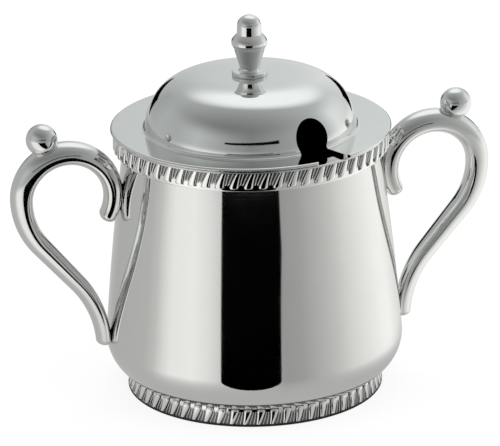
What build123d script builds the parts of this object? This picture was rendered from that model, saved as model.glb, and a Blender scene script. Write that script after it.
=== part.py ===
from build123d import *
from math import acos, asin, atan2, ceil, copysign, cos, hypot, pi, radians, sin, sqrt
import os

# Sugar pot: a spun vessel with two scroll handles and a lift-off domed lid.
# Millimetres. Z is up, the pot stands on Z = 0 and its handles lie along X.

# Vessel
BELLY_RADIUS = 48.0  # widest, just above the rounded corner
BELLY_HEIGHT = 17.5  # height of the widest point
CORNER_RADIUS = 13.0  # rounded corner between wall and bottom
WALL_LEAN = 4.3  # degrees the wall leans in where it leaves the corner
MOUTH_RADIUS = 40.4  # outside of the wall at the mouth
WALL_HEIGHT = 86.0  # top of the spun wall
WALL = 0.9  # sheet thickness of the vessel

# Mouth rim, the flat seat of the lid
RIM_THICKNESS = 0.5
RIM_RECESS = 0.5  # how far its edge stays behind the border and the brim

# Gadroon borders
LOBE_COUNT = 60
LOBE_WIDTH = 2.8  # across a lobe's round end
LOBE_TIP = 1.1  # across its thin end
LOBE_RELIEF = 0.9  # how far the lobes stand out of the border's ground
LOBE_MARGIN = 0.5  # plain strip above and below the lobes
RIM_LOBE_TURN = 3.72  # degrees, where the upper border's first lobe stands
RIM_LOBE_LEAN = 1.4  # degrees round the axis, from a lobe's round end up to its tip
RIM_BORDER_REACH = 4.2  # how far the upper border stands out over the wall
RIM_BORDER_FOOT = 1.3  # the same at its lower edge
RIM_BORDER_HEIGHT = 5.8
RIM_BORDER_SHOULDER = 2.6  # upright part of the border below the rim
FOOT_LOBE_TURN = 1.75
FOOT_LOBE_LEAN = -1.9  # from a lobe's round end down to its tip
FOOT_BORDER_THICKNESS = 2.2
FOOT_BORDER_LEAN = 0.8  # how much smaller the border is at its top

# Foot
FOOT_RADIUS = 41.4
FOOT_COLLAR = 2.4  # thickness of the plain collar behind the border
FOOT_LIP = 0.7  # plain lip below the border

# Scroll handles, drawn in the XZ plane
SCROLL_HEIGHT = 68.7  # centre of the arch above the table
SCROLL_RADIUS = 14.2  # centre line of the arch and its curl
CURL_TURN = 217.0  # degrees from the grip back over the arch to the curl's tip
GRIP_RADIUS = 24.0  # bend from the arch into the straight
GRIP_TURN = 40.0
TAIL_RADIUS = 35.0  # bend from the straight into the upright tail
SOLDER_SEAT = 0.5  # how far curl and tail are let into the wall
CURL_THICKNESS = 5.4  # thickness at the curl's tip, in the plane of the scroll
ARCH_THICKNESS = 7.7
TAIL_THICKNESS = 4.8
CURL_WIDTH = 7.6  # width at the curl's tip, across the scroll
ARCH_WIDTH = 10.2
TAIL_WIDTH = 7.2
CROWN_SHARE = 0.6  # share of the thickness on the round outer side
PALM_SQUARENESS = 3.2  # how flat the inner side is, where the fingers go
ARCH_SHARE = 0.38  # where the scroll is thickest, as a share of its length
CURL_SHARE = 0.1  # where the curl seats on the wall
TIP_ROUNDING = 2.0
TIP_SHARES = (0.03, 0.15, 0.45)  # where the sections of a rounded tip lie
SCROLL_STEP = 8.0  # longest distance between two sections
SECTION_POINTS = 12

# Thumb balls
BALL_RADIUS = 5.05
BALL_ANGLE = 69.0  # degrees round the arch, from the grip
BALL_SEAT = 2.5  # how far the ball is let into the arch

# Lid
LID_SHEET = 0.9
LID_OVERHANG = 0.4  # how far the brim stands out over the border
BRIM_WIDTH = 11.0  # from the dome's foot to the brim's edge
BRIM_FALL = 0.6  # how far the brim's edge is turned down
BRIM_FALL_WIDTH = 2.6
DOME_HEIGHT = 17.1
CROWN_FLAT = 7.0  # radius of the flat crown that carries the finial
DOME_FILLET = 0.8  # hollow corner between dome and brim
CROWN_POWER = 4.8  # how late the crown turns down
SHOULDER_POWER = 1.7  # how square the shoulder is
DOME_STEPS = 10  # points along the dome's outline

# Spoon notch
NOTCH_AZIMUTH = 22.8  # degrees from -Y towards +X
NOTCH_HOLE_RADIUS = 6.0
NOTCH_HOLE_RISE = 4.1  # centre of the hole above the brim
NOTCH_SLOT = 10.2  # width of the slot through the brim
NOTCH_CORNER = 2.4  # rounding of the slot's corners at the brim's edge

# Locating ring inside the mouth
LOCATING_CLEARANCE = 0.4
LOCATING_THICKNESS = 0.8
LOCATING_DEPTH = 4.5
LOCATING_GAP_MARGIN = 1.2  # gap in the ring, beyond the slot on each side

# Finial
DISC_RADIUS = 5.75
DISC_THICKNESS = 1.4
DISC_ROUNDING = 0.3
STEM_FLARE = 0.8  # flare where the stem meets the disc
STEM_RADIUS = 3.15
STEM_TOP_RADIUS = 5.0
STEM_HEIGHT = 7.5
BEAD_RADIUS = 5.7
BEAD_HEIGHT = 4.6
TIP_RADIUS = 3.95
TIP_HEIGHT = 6.2

# Screw and washer under the finial
SCREW_RADIUS = 1.5
SCREW_LENGTH = 8.5
SCREW_CLEARANCE = 0.1
SCREW_HEAD_RADIUS = 2.75
SCREW_HEAD_HEIGHT = 1.6
THREAD_CLEARANCE = 0.05
WASHER_RADIUS = 4.5
WASHER_THICKNESS = 0.8

# Heights and radii that follow
CORNER_CENTRE = BELLY_RADIUS - CORNER_RADIUS
MOUTH_BORE = MOUTH_RADIUS - WALL
BORDER_RADIUS = MOUTH_RADIUS + RIM_BORDER_REACH
LID_RADIUS = BORDER_RADIUS + LID_OVERHANG
DOME_RADIUS = LID_RADIUS - BRIM_WIDTH
SEAT_HEIGHT = WALL_HEIGHT + RIM_THICKNESS
BRIM_TOP = SEAT_HEIGHT + LID_SHEET
CROWN_TOP = BRIM_TOP + DOME_HEIGHT
CROWN_UNDERSIDE = CROWN_TOP - LID_SHEET
DISC_TOP = CROWN_TOP + DISC_THICKNESS


def turned(*edges):
    """Solid of revolution from a closed profile in the XZ plane."""
    return revolve(make_face(edges), Axis.Z, 360)


def outline(*corners):
    """Straight edges through radius and height pairs."""
    return Polyline(*[(radius, 0, height) for radius, height in corners])


def ring(inner, outer, low, high):
    """Plain ring round the pot's axis."""
    return turned(outline((inner, low), (outer, low), (outer, high), (inner, high), (inner, low)))


def rod(radius, low, high):
    """Plain cylinder on the pot's axis."""
    return Pos(0, 0, low) * extrude(Circle(radius), high - low)


# Vessel


def wall_arc():
    """Start, centre and radius of the long shallow arc of the wall."""
    lean = radians(WALL_LEAN)
    outward = Vector(cos(lean), 0, sin(lean))
    start = Vector(CORNER_CENTRE, 0, BELLY_HEIGHT) + outward * CORNER_RADIUS
    chord = Vector(MOUTH_RADIUS, 0, WALL_HEIGHT) - start
    radius = chord.dot(chord) / (-2 * chord.dot(outward))
    return start, start - outward * radius, radius


def wall_radius(height):
    """Outside radius of the vessel at a height above its corner."""
    centre, radius = wall_arc()[1:]
    return centre.X + sqrt(radius ** 2 - (height - centre.Z) ** 2)


def corner_height(radius):
    """Height of the rounded corner's underside at a distance from the axis."""
    return BELLY_HEIGHT - sqrt(CORNER_RADIUS ** 2 - (radius - CORNER_CENTRE) ** 2)


def vessel(inset):
    """The vessel's form, filled up to the mouth and drawn in by a distance."""
    corner = CORNER_RADIUS - inset
    lean = radians(WALL_LEAN)
    low = Vector(CORNER_CENTRE, 0, BELLY_HEIGHT - corner)
    middle = Vector(CORNER_CENTRE + corner * sqrt(0.5), 0, BELLY_HEIGHT - corner * sqrt(0.5))
    high = Vector(CORNER_CENTRE + corner * cos(lean), 0, BELLY_HEIGHT + corner * sin(lean))
    mouth = Vector(MOUTH_RADIUS - inset, 0, WALL_HEIGHT)
    round_corner = ThreePointArc(low, middle, high)
    wall = TangentArc(high, mouth, tangent=(-sin(lean), 0, cos(lean)))
    rest = Polyline(mouth, (0, 0, WALL_HEIGHT), (0, 0, low.Z), low)
    return turned(round_corner, wall, rest)


def body_shell():
    """Spun vessel with an open mouth."""
    return vessel(0) - vessel(WALL)


def mouth_rim():
    """Flat ring that closes the top of the wall and of the border."""
    return ring(MOUTH_BORE, BORDER_RADIUS - RIM_RECESS, WALL_HEIGHT, SEAT_HEIGHT)


# Borders and foot


def teardrop(fat, thin, run):
    """Lobe up the Z axis: a ball at the origin that runs out in a cone."""
    turn = atan2(run, thin) - acos(fat / hypot(run, thin))
    middle = (turn - pi / 2) / 2
    low = (0, 0, -fat)
    side = (fat * cos(turn), 0, fat * sin(turn))
    ball = ThreePointArc(low, (fat * cos(middle), 0, fat * sin(middle)), side)
    return turned(ball, outline((side[0], side[2]), (thin, run), (0, run), (0, -fat)))


def lobe_ring(first_turn, lean, fat_end, thin_end, core):
    """Lobes all round a core; their two ends are given as radius and height."""
    start = Vector(fat_end[0], 0, fat_end[1])
    end = Vector(thin_end[0], 0, thin_end[1]).rotate(Axis.Z, lean)
    lobe = teardrop(LOBE_WIDTH / 2, LOBE_TIP / 2, (end - start).length)
    first = Rot(0, 0, first_turn) * Plane(origin=start, z_dir=end - start) * lobe - core
    return [Rot(0, 0, 360 * turn / LOBE_COUNT) * first for turn in range(LOBE_COUNT)]


def rim_gadroon_band():
    """Border under the rim: its ground rounds in to the wall below slanted lobes."""
    ground = BORDER_RADIUS - LOBE_RELIEF
    low = WALL_HEIGHT - RIM_BORDER_HEIGHT
    shoulder = (ground, 0, WALL_HEIGHT - RIM_BORDER_SHOULDER)
    foot = (MOUTH_RADIUS + RIM_BORDER_FOOT, 0, low)
    side = outline((MOUTH_BORE, low), (MOUTH_BORE, WALL_HEIGHT), (ground, WALL_HEIGHT))
    face = Line((ground, 0, WALL_HEIGHT), shoulder)
    under = TangentArc(shoulder, foot, tangent=(0, 0, -1))
    bottom = Line(foot, (MOUTH_BORE, 0, low))
    fat_end = (BORDER_RADIUS - LOBE_WIDTH / 2, low + LOBE_MARGIN + LOBE_WIDTH / 2)
    thin_end = (BORDER_RADIUS - LOBE_TIP, WALL_HEIGHT - LOBE_MARGIN)
    core = rod(MOUTH_RADIUS + RIM_BORDER_FOOT / 2, low, WALL_HEIGHT)
    lobes = lobe_ring(RIM_LOBE_TURN, RIM_LOBE_LEAN, fat_end, thin_end, core)
    return turned(side, face, under, bottom) - vessel(0) + lobes


def foot_ring():
    """Collar and thin lip that the pot stands on, closed on top by the vessel."""
    outer = FOOT_RADIUS - FOOT_BORDER_THICKNESS
    collar = ring(outer - FOOT_COLLAR, outer, 0, BELLY_HEIGHT)
    lip = ring(outer, FOOT_RADIUS, 0, FOOT_LIP)
    return collar + lip - vessel(0)


def foot_gadroon_band():
    """Border round the collar, between the lip and the vessel, a little smaller at its top."""
    inner = FOOT_RADIUS - FOOT_BORDER_THICKNESS
    ground = FOOT_RADIUS - LOBE_RELIEF
    top = corner_height(FOOT_RADIUS)
    leaning = outline((ground, FOOT_LIP), (ground - FOOT_BORDER_LEAN, top), (inner, top))
    band = turned(leaning, outline((inner, top), (inner, FOOT_LIP), (ground, FOOT_LIP)))
    upper = FOOT_RADIUS - FOOT_BORDER_LEAN
    fat_end = (upper - LOBE_WIDTH / 2, corner_height(upper) - LOBE_MARGIN - LOBE_WIDTH / 2)
    thin_end = (FOOT_RADIUS - LOBE_TIP / 2, FOOT_LIP + LOBE_MARGIN)
    core = rod(inner + LOBE_MARGIN, 0, top)
    lobes = lobe_ring(FOOT_LOBE_TURN, FOOT_LOBE_LEAN, fat_end, thin_end, core)
    return band - vessel(0) + lobes


# Handles


def swell(share, first, peak, last):
    """Size of the scroll a share of the way along: it swells to the arch, then tapers."""
    if share < ARCH_SHARE:
        return first + (peak - first) * sin(share / ARCH_SHARE * pi / 2)
    return peak + (last - peak) * (share - ARCH_SHARE) / (1 - ARCH_SHARE)


def scroll_line():
    """Centre line of the right-hand scroll, from the curl's tip to the tail."""
    curl_reach = CROWN_SHARE * swell(CURL_SHARE, CURL_THICKNESS, ARCH_THICKNESS, TAIL_THICKNESS)
    centre = wall_radius(SCROLL_HEIGHT) - SOLDER_SEAT + curl_reach + SCROLL_RADIUS
    tail_seat = BELLY_RADIUS - SOLDER_SEAT + (1 - CROWN_SHARE) * TAIL_THICKNESS
    turned_in = (GRIP_RADIUS + TAIL_RADIUS) * (1 - cos(radians(GRIP_TURN)))
    straight_length = (centre + SCROLL_RADIUS - turned_in - tail_seat) / sin(radians(GRIP_TURN))
    arch = CenterArc((centre, SCROLL_HEIGHT), SCROLL_RADIUS, CURL_TURN, -CURL_TURN)
    grip = JernArc(arch @ 1, arch % 1, GRIP_RADIUS, -GRIP_TURN)
    straight = Line(grip @ 1, (grip @ 1) + (grip % 1) * straight_length)
    tail = JernArc(straight @ 1, straight % 1, TAIL_RADIUS, GRIP_TURN)
    return Plane.XZ * Wire([arch, grip, straight, tail])


def scroll_section(line, distance):
    """Closed section of the scroll: round outside, flatter where the fingers go."""
    share = distance / line.length
    nearest_tip = min(distance, line.length - distance)
    close_in = sqrt(1 - max(0, 1 - nearest_tip / TIP_ROUNDING) ** 2)
    thickness = close_in * swell(share, CURL_THICKNESS, ARCH_THICKNESS, TAIL_THICKNESS)
    half_width = close_in * swell(share, CURL_WIDTH, ARCH_WIDTH, TAIL_WIDTH) / 2
    points = []
    for step in range(SECTION_POINTS):
        angle = 2 * pi * step / SECTION_POINTS
        outside = cos(angle) > 0
        depth = thickness * (CROWN_SHARE if outside else 1 - CROWN_SHARE)
        power = 1 if outside else 2 / PALM_SQUARENESS
        out = copysign(abs(cos(angle)) ** power, cos(angle)) * depth
        across = copysign(abs(sin(angle)) ** power, sin(angle)) * half_width
        points.append((out, across))
    tangent = line % share
    outward = tangent.cross(Vector(0, 1, 0))
    plane = Plane(origin=line @ share, x_dir=outward, z_dir=tangent)
    return plane * make_face(Spline(*points, periodic=True))


def scroll_distances(length):
    """Where the sections lie: evenly spaced, and closer together at the two tips."""
    tips = [TIP_ROUNDING * share for share in TIP_SHARES]
    count = ceil((length - 2 * TIP_ROUNDING) / SCROLL_STEP)
    pitch = (length - 2 * TIP_ROUNDING) / count
    middle = [TIP_ROUNDING + pitch * step for step in range(count + 1)]
    return tips + middle + [length - tip for tip in reversed(tips)]


def right_handle():
    """Cast scroll, seated against the wall at its curl and its tail."""
    line = scroll_line()
    sections = [scroll_section(line, distance) for distance in scroll_distances(line.length)]
    return loft(sections) - vessel(0)


def right_thumb_ball():
    """Ball let into the outside of the arch."""
    line = scroll_line()
    centre = (line @ 0) + Vector(cos(radians(CURL_TURN)), 0, sin(radians(CURL_TURN))) * -SCROLL_RADIUS
    lift = SCROLL_RADIUS + CROWN_SHARE * ARCH_THICKNESS + BALL_RADIUS - BALL_SEAT
    place = centre + Vector(cos(radians(BALL_ANGLE)), 0, sin(radians(BALL_ANGLE))) * lift
    return Pos(place) * Sphere(BALL_RADIUS) - right_handle()


def left_handle():
    """The right handle, mirrored."""
    return mirror(right_handle(), Plane.YZ)


def left_thumb_ball():
    """The right ball, mirrored."""
    return mirror(right_thumb_ball(), Plane.YZ)


# Lid


def dome_curve(radius, top, base, lowest):
    """Half outline of a dome, from its flat crown down to a lowest height."""
    height = top - base
    start = asin((CROWN_FLAT / radius) ** (CROWN_POWER / 2))
    end = acos(((lowest - base) / height) ** (SHOULDER_POWER / 2))
    points = [(CROWN_FLAT, 0, top)]
    for step in range(1, DOME_STEPS + 1):
        angle = start + (end - start) * step / DOME_STEPS
        out = radius * sin(angle) ** (2 / CROWN_POWER)
        points.append((out, 0, base + height * cos(angle) ** (2 / SHOULDER_POWER)))
    return Spline(*points, tangents=[(1, 0, 0), (0, 0, -1)])


def notch_cutter():
    """Round hole in the dome's wall that runs on as a slot through the brim."""
    half = NOTCH_SLOT / 2
    corner = half + NOTCH_CORNER
    edge = sqrt(LID_RADIUS ** 2 - corner ** 2)
    beyond = LID_RADIUS + LID_SHEET
    centre = BRIM_TOP + NOTCH_HOLE_RISE
    bore = extrude(Circle(NOTCH_HOLE_RADIUS), beyond - DISC_RADIUS)
    hole = Pos(0, -beyond, centre) * Rot(-90, 0, 0) * bore
    right = TangentArc((half, NOTCH_CORNER - edge), (corner, -edge), tangent=(0, -1))
    left = TangentArc((-half, NOTCH_CORNER - edge), (-corner, -edge), tangent=(0, -1))
    outer = Polyline(right @ 1, (corner, -beyond), (-corner, -beyond), left @ 1)
    inner = Polyline(right @ 0, (half, -DISC_RADIUS), (-half, -DISC_RADIUS), left @ 0)
    low = SEAT_HEIGHT - LID_SHEET
    high = centre - sqrt(NOTCH_HOLE_RADIUS ** 2 - half ** 2)
    slot = Pos(0, 0, low) * extrude(make_face([right, outer, left, inner]), high - low)
    return Rot(0, 0, NOTCH_AZIMUTH) * (hole + slot)


def lid_shell():
    """Pressed dome and brim in one piece, with the spoon notch."""
    outside = dome_curve(DOME_RADIUS, CROWN_TOP, BRIM_TOP, BRIM_TOP + DOME_FILLET)
    inside = dome_curve(DOME_RADIUS - LID_SHEET, CROWN_UNDERSIDE, SEAT_HEIGHT, SEAT_HEIGHT)
    foot = outside @ 1
    corner = TangentArc(foot, (foot.X + DOME_FILLET, 0, BRIM_TOP), tangent=(0, 0, -1))
    edge_start = (LID_RADIUS - BRIM_FALL_WIDTH, 0, BRIM_TOP)
    brim = Line(corner @ 1, edge_start)
    edge = TangentArc(edge_start, (LID_RADIUS, 0, BRIM_TOP - BRIM_FALL), tangent=(1, 0, 0))
    under = Polyline(edge @ 1, (LID_RADIUS, 0, SEAT_HEIGHT), inside @ 1)
    crown = outline((CROWN_FLAT, CROWN_UNDERSIDE), (0, CROWN_UNDERSIDE), (0, CROWN_TOP), (CROWN_FLAT, CROWN_TOP))
    screw_hole = rod(SCREW_RADIUS + SCREW_CLEARANCE, CROWN_UNDERSIDE - LID_SHEET, CROWN_TOP + LID_SHEET)
    return turned(outside, corner, brim, edge, under, inside, crown) - screw_hole - notch_cutter()


def lid_locating_ring():
    """Ring under the brim that keeps the loose lid in the mouth, open at the notch."""
    outer = MOUTH_BORE - LOCATING_CLEARANCE
    skirt = ring(outer - LOCATING_THICKNESS, outer, SEAT_HEIGHT - LOCATING_DEPTH, SEAT_HEIGHT)
    height = 2 * (LOCATING_DEPTH + LOCATING_CLEARANCE)
    gap = Box(NOTCH_SLOT + 2 * LOCATING_GAP_MARGIN, outer, height)
    return skirt - Rot(0, 0, NOTCH_AZIMUTH) * Pos(0, -outer, SEAT_HEIGHT) * gap


# Finial


def finial_base_disc():
    """Flat disc between the dome and the knob."""
    disc = ring(SCREW_RADIUS + SCREW_CLEARANCE, DISC_RADIUS, CROWN_TOP, DISC_TOP)
    rim = disc.edges().filter_by(GeomType.CIRCLE).group_by(SortBy.RADIUS)[-1]
    return fillet(rim, DISC_ROUNDING)


def finial_knob():
    """Turned stem, bead and egg-shaped tip in one piece, tapped from below."""
    stem_top = DISC_TOP + STEM_HEIGHT
    bead_top = stem_top + BEAD_HEIGHT
    top = bead_top + TIP_HEIGHT
    base = outline((0, DISC_TOP), (STEM_RADIUS + STEM_FLARE, DISC_TOP))
    flare_end = (STEM_RADIUS, 0, DISC_TOP + STEM_FLARE)
    flare = TangentArc(flare_end, base @ 1, tangent=(0, 0, -1))
    stem = outline((STEM_RADIUS, DISC_TOP + STEM_FLARE), (STEM_TOP_RADIUS, stem_top))
    bead = ThreePointArc(stem @ 1, (BEAD_RADIUS, 0, stem_top + BEAD_HEIGHT / 2), (TIP_RADIUS, 0, bead_top))
    tip_middle = (TIP_RADIUS * sqrt(0.5), 0, bead_top + TIP_HEIGHT * sqrt(0.5))
    tip = Spline(bead @ 1, tip_middle, (0, 0, top), tangents=[(0, 0, 1), (-1, 0, 0)])
    knob = turned(base, flare, stem, bead, tip, Line((0, 0, top), (0, 0, DISC_TOP)))
    thread_top = CROWN_UNDERSIDE - WASHER_THICKNESS + SCREW_LENGTH + SCREW_CLEARANCE
    return knob - rod(SCREW_RADIUS + THREAD_CLEARANCE, DISC_TOP - SCREW_CLEARANCE, thread_top)


def finial_screw():
    """Screw from inside the dome into the knob, its thread drawn plain."""
    head_top = CROWN_UNDERSIDE - WASHER_THICKNESS
    head = rod(SCREW_HEAD_RADIUS, head_top - SCREW_HEAD_HEIGHT, head_top)
    return head + rod(SCREW_RADIUS, head_top, head_top + SCREW_LENGTH)


def finial_washer():
    """Washer between the screw's head and the dome."""
    bore = SCREW_RADIUS + SCREW_CLEARANCE
    return ring(bore, WASHER_RADIUS, CROWN_UNDERSIDE - WASHER_THICKNESS, CROWN_UNDERSIDE)


PIECES = [
    body_shell,
    mouth_rim,
    rim_gadroon_band,
    foot_ring,
    foot_gadroon_band,
    left_handle,
    right_handle,
    left_thumb_ball,
    right_thumb_ball,
    lid_shell,
    lid_locating_ring,
    finial_base_disc,
    finial_knob,
    finial_screw,
    finial_washer,
]

os.makedirs("parts", exist_ok=True)
for piece in PIECES:
    export_step(piece(), f"parts/{piece.__name__}.step")
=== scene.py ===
"""Dresses a polished steel sugar pot and sets it up for its photograph.

Every piece is drawn in metres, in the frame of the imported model.
"""

from math import acos, asin, copysign, cos, pi, radians, sin, sqrt, tan

import bmesh
import bpy
from bpy.props import FloatProperty, FloatVectorProperty, IntProperty, PointerProperty
from mathutils import Matrix, Vector


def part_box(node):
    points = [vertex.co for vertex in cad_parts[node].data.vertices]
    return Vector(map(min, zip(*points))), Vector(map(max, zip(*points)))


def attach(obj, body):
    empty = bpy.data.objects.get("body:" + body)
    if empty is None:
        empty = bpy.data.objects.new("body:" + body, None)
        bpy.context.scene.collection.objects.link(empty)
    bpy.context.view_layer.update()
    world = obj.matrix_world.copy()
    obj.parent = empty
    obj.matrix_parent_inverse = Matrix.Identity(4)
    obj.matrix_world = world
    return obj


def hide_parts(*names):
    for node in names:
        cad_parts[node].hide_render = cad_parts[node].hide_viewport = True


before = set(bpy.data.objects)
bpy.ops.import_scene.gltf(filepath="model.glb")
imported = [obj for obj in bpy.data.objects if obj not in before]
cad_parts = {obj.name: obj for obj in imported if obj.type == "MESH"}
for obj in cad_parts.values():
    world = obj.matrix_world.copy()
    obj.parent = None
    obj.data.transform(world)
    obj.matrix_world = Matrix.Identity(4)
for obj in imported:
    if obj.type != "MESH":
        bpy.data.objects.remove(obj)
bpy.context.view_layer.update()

bl_info = {
    "name": "Sugar pot",
    "version": (1, 0, 0),
    "blender": (4, 5, 0),
    "location": "3D View > Sidebar > Sugar Pot",
    "description": "Builds a polished steel sugar pot with gadroon borders and its light tent",
    "category": "Add Mesh",
}

ROUND = 2 * pi

# Points nearer to each other than this, in metres, are one point

SAME_POINT = 1e-7

# What the frame says about the pot

VESSEL_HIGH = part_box("body_shell")[1]
RIM_LOW, RIM_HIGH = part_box("mouth_rim")
RIM_BORDER_LOW, RIM_BORDER_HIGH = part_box("rim_gadroon_band")
FOOT_BORDER_LOW, FOOT_BORDER_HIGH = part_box("foot_gadroon_band")
FOOT_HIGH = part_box("foot_ring")[1]
LID_LOW, LID_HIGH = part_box("lid_shell")
SKIRT_LOW, SKIRT_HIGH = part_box("lid_locating_ring")
DISC_LOW, DISC_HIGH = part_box("finial_base_disc")
KNOB_LOW, KNOB_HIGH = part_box("finial_knob")
SCREW_LOW, SCREW_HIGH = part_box("finial_screw")
WASHER_LOW, WASHER_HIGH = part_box("finial_washer")


# Sizes and finishes a user may change


def length(name, description, default):
    """A size in metres, shown in the scene's own units."""
    return FloatProperty(
        name=name, description=description, default=default, min=0.0, precision=5, unit="LENGTH"
    )


def lengths(name, description, *default):
    """Two measures in metres, which may be negative."""
    return FloatVectorProperty(
        name=name, description=description, default=default, size=2, precision=5, unit="LENGTH"
    )


def angle(name, description, degrees):
    """An angle, given in degrees and kept in radians."""
    return FloatProperty(
        name=name, description=description, default=radians(degrees), unit="ROTATION"
    )


def share(name, description, default):
    """A part of a whole, from 0 to 1."""
    return FloatProperty(
        name=name, description=description, default=default, min=0.0, max=1.0, subtype="FACTOR"
    )


def power(name, description, default):
    """A power that bends a curve; 1 is straight and 2 is round."""
    return FloatProperty(name=name, description=description, default=default, min=1.0)


def colour(name, description, *default):
    """A colour as red, green and blue."""
    return FloatVectorProperty(
        name=name, description=description, default=default, min=0.0, max=1.0, subtype="COLOR"
    )


class VesselSizes(bpy.types.PropertyGroup):
    """Spun vessel, its mouth rim and its foot."""

    belly_height: length("Belly height", "Height of the widest point", 0.0175)
    corner_radius: length("Corner radius", "Rounded corner between wall and bottom", 0.013)
    wall_lean: angle("Wall lean", "How far the wall leans in above the corner", 4.3)
    mouth_radius: length("Mouth radius", "Outside of the wall at the mouth", 0.0404)
    sheet: length("Sheet", "Thickness of the spun steel", 0.0009)
    edge: length("Edge rounding", "Polished rounding of the sheet's edges", 0.00018)
    rim_rounding: share("Rim rounding", "Rounding of the mouth rim, as a share of its height", 0.8)
    foot_lip: length("Foot lip", "Height of the plain lip under the border", 0.0007)
    foot_border: length("Border thickness", "Thickness of the border round the foot", 0.0022)
    foot_collar: length("Foot collar", "Thickness of the collar behind that border", 0.0024)


class GadroonSizes(bpy.types.PropertyGroup):
    """Slanted lobes and fine reeds of both borders."""

    lobes: IntProperty(name="Lobes", description="Lobes round each border", default=60, min=3)
    relief: length("Relief", "How far a lobe stands out", 0.0009)
    flatness: power("Flatness", "How flat the lobes are on top", 3.0)
    fat_share: share("Fat end", "Half width of a lobe's fat end, in lobe pitches", 0.3)
    thin_share: share("Thin end", "Half width of a lobe's thin end, in lobe pitches", 0.17)
    fat_length: share("Fat length", "Share of a lobe's length in its round end", 0.2)
    slant_power: power("Slant power", "How late the lobes turn aside", 1.4)
    reed_relief: length("Reed relief", "How far a reed stands out", 0.00045)
    reed_width: share("Reed width", "Half width of a reed, in lobe pitches", 0.05)
    reed_place: share("Reed place", "Centre of a reed, as a share of the gap between lobes", 0.28)
    reed_start: share("Reed start", "Where the reeds begin, as a share of a lobe's length", 0.27)
    rim_thin: share("Rim relief", "Relief of the rim lobes' thin ends, as a share", 0.55)
    rim_slant: share("Rim slant", "How far a rim lobe's thin end has moved on, in pitches", 0.36)
    rim_low: length("Rim border's edge", "Plain edge of the upper border below its box", 0.0004)
    rim_rounding: length("Rim border's rounding", "Rounding of that border's lower edge", 0.0005)
    rim_start: length("Rim border's lobes", "Where the lobes start above the lower edge", 0.00095)
    rim_lean: length("Rim border's lean", "How much smaller the upper border is below", 0.0003)
    rim_turn: angle("Rim turn", "Where the rim's first lobe stands", 3.72)
    foot_thin: share("Foot relief", "Relief of the foot lobes' thin ends, as a share", 1.0)
    foot_slant: share("Foot slant", "How far a foot lobe's thin end has moved on, in pitches", 0.25)
    foot_lean: length("Foot border's lean", "How much smaller the foot border is on top", 0.0008)
    foot_turn: angle("Foot turn", "Where the foot's first lobe stands", 1.75)


class HandleSizes(bpy.types.PropertyGroup):
    """Cast scroll handles."""

    height: length("Scroll height", "Centre of the arch above the table", 0.0687)
    radius: length("Scroll radius", "Centre line of the arch and its curl", 0.0142)
    curl_turn: angle("Curl turn", "From the grip back over the arch to the curl's tip", 217)
    grip_radius: length("Grip radius", "Bend from the arch into the straight", 0.024)
    grip_turn: angle("Grip turn", "How far the straight leans in", 40)
    tail_radius: length("Tail radius", "Bend from the straight into the tail", 0.035)
    seat: length("Solder seat", "How far curl and tail are let into the wall", 0.0005)
    curl: lengths("Curl", "Thickness and width of the curl", 0.0054, 0.0076)
    arch: lengths("Arch", "Thickness and width of the arch", 0.0076, 0.0102)
    tail: lengths("Tail", "Thickness and width of the tail", 0.0048, 0.0072)
    crown_share: share("Crown share", "Share of the thickness on the round outer side", 0.6)
    palm_squareness: power("Palm squareness", "How flat the inner side is", 2.15)
    arch_share: share("Arch place", "Where the scroll is thickest, along its length", 0.38)
    curl_share: share("Curl place", "Where the curl sits on the wall, along its length", 0.1)
    tip_rounding: length("Tip rounding", "Length of the rounded tips", 0.002)


class LidSizes(bpy.types.PropertyGroup):
    """Pressed lid with its spoon notch, and the ring that keeps it in place."""

    sheet: length("Sheet", "Thickness of the lid", 0.0009)
    brim_rise: length("Brim rise", "How far the brim rises from the dome to its edge", 0.0005)
    brim_edge: length("Brim edge", "Rounding of the brim's upper edge", 0.0007)
    dome_radius: length("Dome radius", "Outside of the dome at its foot", 0.034)
    crown_flat: length("Flat crown", "Radius of the flat that carries the finial", 0.007)
    dome_fillet: length("Dome fillet", "Hollow corner between dome and brim", 0.001)
    crown_power: power("Crown power", "How late the crown turns down", 4.8)
    shoulder_power: power("Shoulder power", "How square the shoulder is", 1.7)
    notch_turn: angle("Notch turn", "From the front towards the right handle", 22.8)
    hole_radius: length("Hole radius", "Round hole in the dome's wall", 0.006)
    hole_rise: length("Hole rise", "Centre of the hole above the brim", 0.0041)
    slot: length("Slot", "Width of the slot through the brim", 0.0102)
    slot_flare: length("Slot flare", "Rounding of the slot's corners at the brim's edge", 0.0024)
    skirt_sheet: length("Ring sheet", "Thickness of the locating ring", 0.0008)
    skirt_gap: length("Ring gap", "Clearance beside the slot in the locating ring", 0.0012)


class FinialSizes(bpy.types.PropertyGroup):
    """Turned finial over its screw."""

    disc_edge: length("Disc edge", "Rounding of the disc's edges", 0.0003)
    stem_radius: length("Stem radius", "Stem above its flare", 0.00315)
    stem_top_radius: length("Stem top", "Stem under the bead", 0.005)
    stem_flare: length("Stem flare", "Flare where the stem meets the disc", 0.0008)
    stem_height: length("Stem height", "From the disc to the bead", 0.0075)
    bead_height: length("Bead height", "Height of the bead", 0.0046)
    tip_radius: length("Tip radius", "Egg-shaped tip above the bead", 0.00395)
    tip_upright: length("Tip upright", "Height of the tip's nearly upright wall", 0.0026)
    tip_taper: length("Tip taper", "How far that wall leans in", 0.00012)
    washer_bore: length("Washer bore", "Radius of the washer's bore", 0.0016)
    shank: length("Shank", "Radius of the screw's shank", 0.0015)
    shank_point: length("Shank point", "Chamfer at the shank's end", 0.0004)
    head_crown: length("Head crown", "Height of the screw head's crown", 0.0008)
    blade: length("Blade slot", "Width and depth of the slot in the screw's head", 0.0008)


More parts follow.
